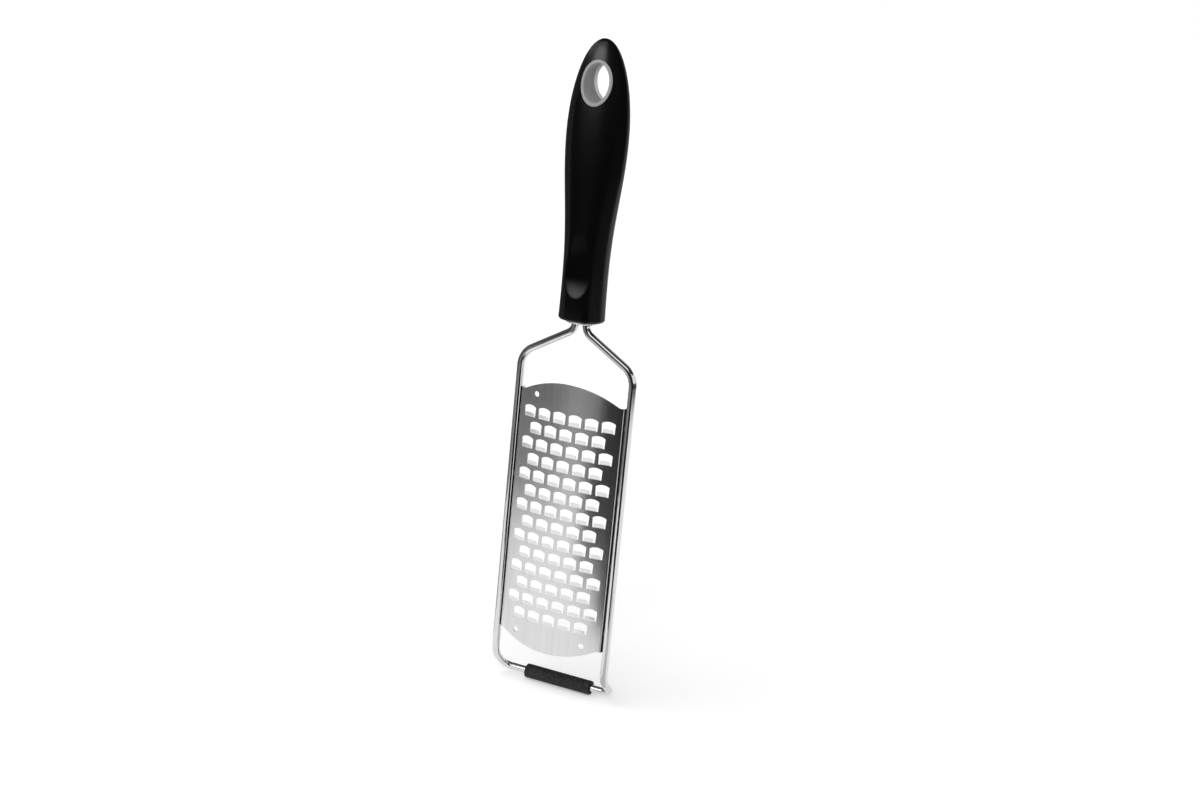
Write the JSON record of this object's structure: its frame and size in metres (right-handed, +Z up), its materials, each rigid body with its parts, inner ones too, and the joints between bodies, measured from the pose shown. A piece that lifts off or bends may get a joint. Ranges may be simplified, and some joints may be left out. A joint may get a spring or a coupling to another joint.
{
  "type": "coarse grater",
  "caption": "Hand-held coarse grater: a crowned, toothed steel blade welded in a bent wire frame, with a moulded grip, a hanging eyelet and a rubber foot sleeve.",
  "frame": {"origin": "on the flat underside of the foot sleeve, halfway between the rails", "axes": "+X across the grater to the right as seen from the cutting face, +Y away from the cutting face, +Z up along the length to the handle's tip"},
  "size_m": [0.0606, 0.0225, 0.2982],
  "materials": {
    "brushed_blade": "brushed along the length",
    "polished_wire": "polished",
    "grey_core": "satin",
    "black_grip": "soft-touch matte",
    "black_rubber": "matte",
    "weld_metal": "as welded"
  },
  "bodies": {
    "root": {"blade": "brushed_blade", "wire_frame": "polished_wire", "handle_core": "grey_core", "grip": "black_grip", "end_plug": "polished_wire", "foot_sleeve": "black_rubber", "weld_left_1": "weld_metal", "weld_left_2": "weld_metal", "weld_left_3": "weld_metal", "weld_left_4": "weld_metal", "weld_right_1": "weld_metal", "weld_right_2": "weld_metal", "weld_right_3": "weld_metal", "weld_right_4": "weld_metal"}
  },
  "joints": []
}
